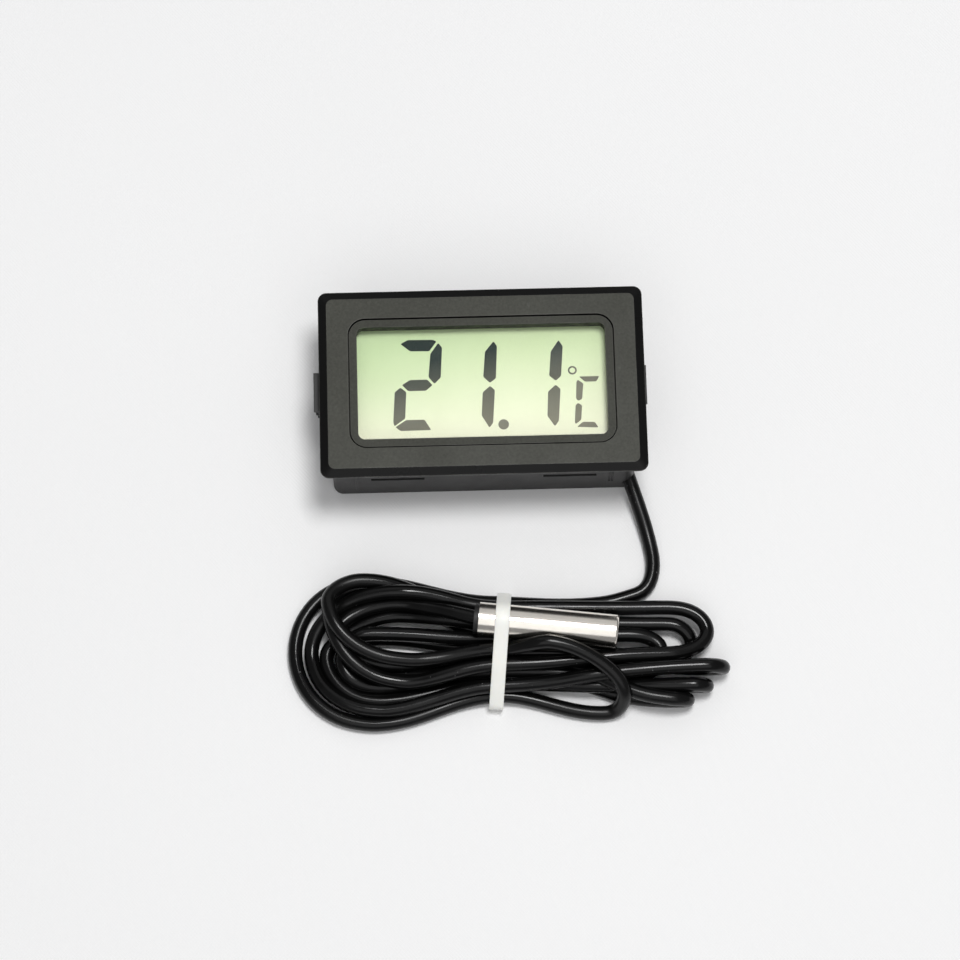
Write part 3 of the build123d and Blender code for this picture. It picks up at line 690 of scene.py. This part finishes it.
# The figures lie just above the reflector, in millimetres, moved up the display by INK_SHIFT.
INK_TOP, INK_BOTTOM = 11.95, 11.92
INK_SHIFT = 0.2
FIGURES = [
    [(-11.9, 6.8), (-10.8, 7.4), (-7.1, 7.35), (-6.55, 7.1), (-7.65, 5.6), (-10.5, 5.65)],
    [(-6.3, 6.85), (-5.75, 6.1), (-6.05, 1.45), (-7.0, 0.5), (-7.85, 1.55), (-7.5, 5.15)],
    [(-11.8, 0.4), (-10.6, 1.15), (-8.05, 1.15), (-7.3, 0.3), (-8.3, -0.55), (-10.9, -0.55)],
    [(-12.05, 0.0), (-11.2, -0.7), (-11.45, -4.8), (-13.05, -5.95), (-13.2, -5.3), (-12.9, -0.7)],
    [(-12.9, -6.1), (-11.3, -5.05), (-8.6, -5.05), (-7.65, -6.65), (-12.15, -6.7)],
    [(1.9, 6.9), (2.4, 6.15), (2.1, 1.15), (1.2, 0.45), (0.25, 1.4), (0.6, 5.3)],
    [(1.2, -0.05), (1.9, -0.7), (1.5, -5.75), (0.95, -6.5), (-0.15, -4.6), (0.1, -1.0)],
    [(11.55, 6.85), (12.15, 5.9), (11.75, 1.25), (10.95, 0.55), (10.0, 1.35), (10.35, 5.1)],
    [(10.9, -0.1), (11.6, -0.75), (11.2, -5.7), (10.6, -6.5), (9.55, -4.9), (9.75, -1.15)],
    [(14.4, 1.1), (17.4, 1.1), (16.95, 0.3), (15.25, 0.3)],
    [(14.2, 0.6), (15.0, 0.0), (14.75, -2.4), (14.15, -2.65), (13.85, -2.3), (14.0, 0.3)],
    [(14.15, -3.0), (14.7, -3.4), (14.5, -5.6), (13.7, -6.25), (13.55, -6.0), (13.75, -3.35)],
    [(13.85, -6.7), (14.75, -5.95), (16.5, -6.0), (17.0, -6.85)],
]
POINT = (3.05, -6.05, 0.78)              # its middle and radius
DEGREE = (13.45, 2.1, 0.66, 0.42)        # its middle, outer and inner radius


def soft_corners(outline, cut=0.12):
    """Cuts each corner of an outline a little way along its two sides."""
    soft = []
    for (ax, ay), (bx, by) in zip(outline, outline[1:] + outline[:1]):
        share = min(0.4, cut / math.hypot(bx - ax, by - ay))
        soft.append((ax + (bx - ax) * share, ay + (by - ay) * share))
        soft.append((bx - (bx - ax) * share, by - (by - ay) * share))
    return soft


def plate(shape, outer, inner=None):
    """A thin flat plate with vertical sides, or a ring when it has an inner outline."""
    def ring(outline, z):
        return [shape.verts.new((x * MM, (y + INK_SHIFT) * MM, z * MM)) for x, y in outline]

    top, low = ring(outer, INK_TOP), ring(outer, INK_BOTTOM)
    count = len(outer)
    for i in range(count):
        j = (i + 1) % count
        shape.faces.new((low[i], low[j], top[j], top[i]))
    if inner is None:
        shape.faces.new(top)
        shape.faces.new(low[::-1])
        return
    top_in, low_in = ring(inner, INK_TOP), ring(inner, INK_BOTTOM)
    for i in range(count):
        j = (i + 1) % count
        shape.faces.new((top[i], top[j], top_in[j], top_in[i]))
        shape.faces.new((low[j], low[i], low_in[i], low_in[j]))
        shape.faces.new((top_in[i], top_in[j], low_in[j], low_in[i]))


def circle(x, y, radius, count=32):
    angles = [2 * math.pi * i / count for i in range(count)]
    return [(x + radius * math.cos(a), y + radius * math.sin(a)) for a in angles]


def figures(shape):
    for outline in FIGURES:
        plate(shape, soft_corners(outline))
    plate(shape, circle(*POINT))
    x, y, outer, inner = DEGREE
    plate(shape, circle(x, y, outer), circle(x, y, inner))


digits = mesh_object("display_figures", figures, "segments", smooth=False)

# ----------------------------------------------------------- floor and lights


def floor_look():
    material, tree = new_material("floor_paper")
    where = place_of(tree)
    split = add(tree, "SeparateXYZ", Vector=where)
    threads = [sine(tree, split.outputs[axis], pitch) for axis, pitch in ((0, 0.00052), (1, 0.00060))]
    weave = math_node(tree, "MULTIPLY", threads[0], threads[1])
    soft = mix(tree, noise(tree, where, 0.12, 2), grey(0.87), grey(0.91))
    shade = mix(tree, span(tree, weave, -1, 1, 0, 0.05), soft, grey(0.6))
    bump = add(tree, "Bump", Strength=0.35, Distance=0.00003, Height=weave).outputs[0]
    shader = add(
        tree, "BsdfPrincipled", Base_Color=shade, Roughness=0.9, Specular_IOR_Level=0.1, Normal=bump,
    )
    finish_material(tree, shader.outputs[0])
    return material


FLOOR_HALF, FLOOR_HEIGHT = 4.0, -0.00002
looks["floor"] = floor_look()


def floor_sheet(shape):
    corners = [(-1, -1), (1, -1), (1, 1), (-1, 1)]
    shape.faces.new(
        [shape.verts.new((x * FLOOR_HALF, y * FLOOR_HALF, FLOOR_HEIGHT)) for x, y in corners]
    )


floor = mesh_object("floor", floor_sheet, "floor", smooth=False)


def softbox(name, place, aim, size, power):
    data = bpy.data.lights.new(name, "AREA")
    data.shape = "RECTANGLE"
    data.size, data.size_y = size
    data.energy = power
    made = bpy.data.objects.new(name, data)
    made.location = place
    way = np.array(aim, float) - np.array(place, float)
    tilt = math.atan2(math.hypot(way[0], way[1]), -way[2])
    made.rotation_euler = (tilt, 0, math.atan2(way[1], way[0]) - math.pi / 2)
    bpy.context.scene.collection.objects.link(made)


softbox("key_light", (0.10, 0.05, 0.84), (0, -0.01, 0), (0.24, 0.22), 4.4)
softbox("front_light", (0.0, -0.40, 0.62), (0, -0.03, 0), (0.70, 0.55), 1.15)
softbox("back_light", (0.0, 0.45, 0.50), (0, 0, 0), (0.80, 0.50), 0.50)

SKY_TINT = (1, 1, 1.02)
world = bpy.data.worlds.new("studio")
world.use_nodes = True
sky = world.node_tree
way_up = add(sky, "TexCoord").outputs["Generated"]
front = span(sky, add(sky, "SeparateXYZ", Vector=way_up).outputs[1], 0.9, -0.9)
sky_colour = mix(sky, front, grey(0.16, SKY_TINT), grey(0.28, SKY_TINT))
put(sky, sky.nodes["Background"].inputs["Color"], sky_colour)
bpy.context.scene.world = world

camera = bpy.data.objects.new("camera", bpy.data.cameras.new("camera"))
camera.location = (-0.009528, -0.175246, 0.545690)
camera.rotation_euler = (0.29312, -0.00836, -0.02727)
camera.data.lens = 142.5
camera.data.sensor_width = 36.0
camera.data.clip_start = 0.01
bpy.context.scene.collection.objects.link(camera)
bpy.context.scene.camera = camera
bpy.context.scene.view_settings.view_transform = "Standard"
bpy.context.scene.cycles.transparent_max_bounces = 24

# ------------------------------------------------------------- what rides what

for piece in (cord, tie, digits):
    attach(piece, "case")
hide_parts("sensor_cable", "cable_hank", "probe_cable_end")
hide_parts("cable_tie")
